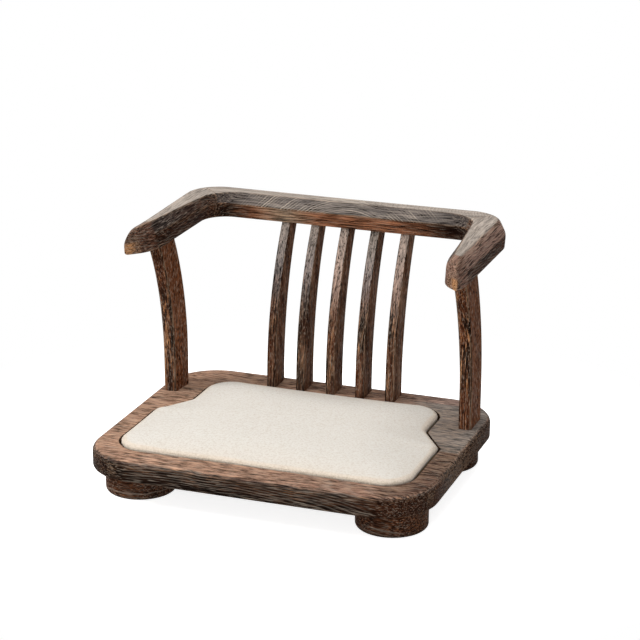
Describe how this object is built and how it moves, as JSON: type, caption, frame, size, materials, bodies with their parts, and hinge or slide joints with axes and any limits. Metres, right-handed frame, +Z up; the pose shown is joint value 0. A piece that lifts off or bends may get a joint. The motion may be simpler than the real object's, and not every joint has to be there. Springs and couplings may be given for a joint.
{
  "type": "wooden floor chair",
  "caption": "Low wooden floor chair on round feet, with slatted back, curved arm posts, a faceted crest and arm rail, and a linen seat cushion.",
  "frame": {"origin": "centre of the chair's box in plan, on the floor under the feet", "axes": "+X to the right as seen from the front, +Y from the front edge towards the back, +Z up"},
  "size_m": [0.5, 0.4468, 0.348],
  "materials": {
    "seat_wood": "oiled, brushed grain",
    "rail_wood": "oiled, brushed grain",
    "dark_wood": "oiled, brushed grain",
    "foot_wood": "oiled, brushed grain",
    "inner_wood": "raw",
    "linen": "plain woven linen",
    "zinc_steel": "zinc plated"
  },
  "bodies": {
    "root": {"seat_front_board": "seat_wood", "seat_middle_board": "seat_wood", "seat_rear_board": "seat_wood", "seat_dowels": "inner_wood", "cushion": "linen", "cushion_board": "inner_wood", "cushion_screws": "zinc_steel", "front_left_foot": "foot_wood", "front_right_foot": "foot_wood", "rear_left_foot": "foot_wood", "rear_right_foot": "foot_wood", "foot_screws": "zinc_steel", "left_arm_post": "dark_wood", "right_arm_post": "dark_wood", "back_slat_1": "dark_wood", "back_slat_2": "dark_wood", "back_slat_3": "dark_wood", "back_slat_4": "dark_wood", "back_slat_5": "dark_wood", "crest_rail": "rail_wood", "left_arm_rail": "rail_wood", "right_arm_rail": "rail_wood", "left_mitre_tenon": "inner_wood", "right_mitre_tenon": "inner_wood"}
  },
  "joints": []
}
